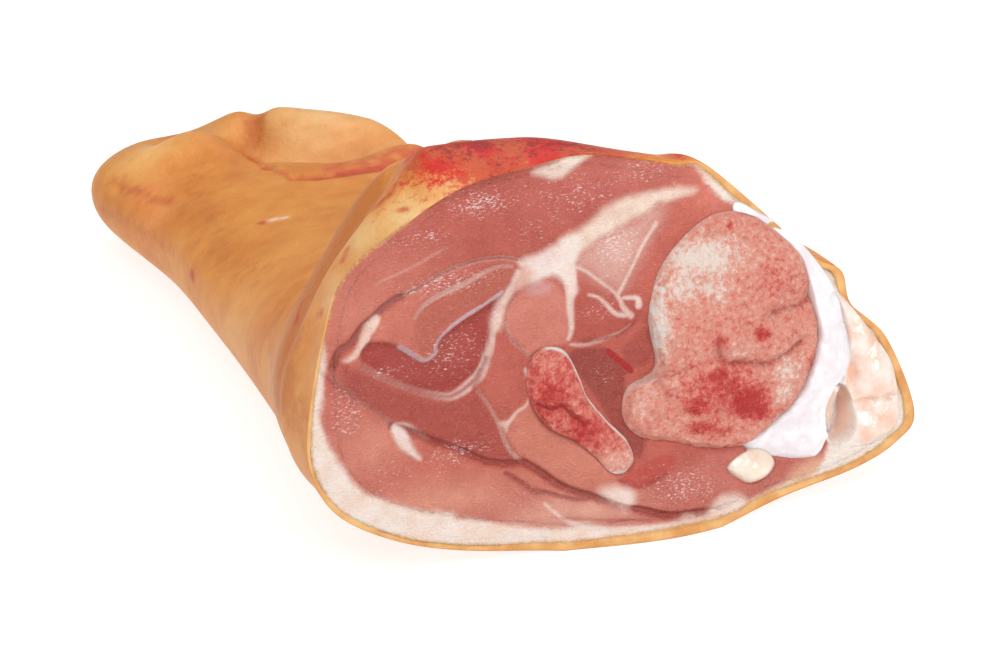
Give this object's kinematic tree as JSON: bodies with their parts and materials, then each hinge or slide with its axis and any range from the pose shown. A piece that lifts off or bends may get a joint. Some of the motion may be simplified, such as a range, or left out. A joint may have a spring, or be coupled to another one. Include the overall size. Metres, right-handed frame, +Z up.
{
  "type": "raw pork leg knuckle",
  "caption": "Raw pork leg knuckle with the rind on, sawn through below the knee, lying on its side with the cut face showing.",
  "frame": {"origin": "middle of the leg's footprint, on the surface that it lies on", "axes": "+Y from the sawn face back to the heel end, +Z up, +X to the right of someone who looks at the sawn face"},
  "size_m": [0.1654, 0.2484, 0.1006],
  "materials": {
    "rind": "satin",
    "meat": "moist gloss",
    "bone": "moist satin",
    "cartilage": "moist gloss",
    "fat": "moist satin"
  },
  "bodies": {
    "root": {"rind_and_fat": "rind", "meat": "meat", "shin_bone": "bone", "calf_bone": "bone", "knee_cartilage": "cartilage", "knee_fat_pad": "fat", "tendon": "cartilage"}
  },
  "joints": []
}
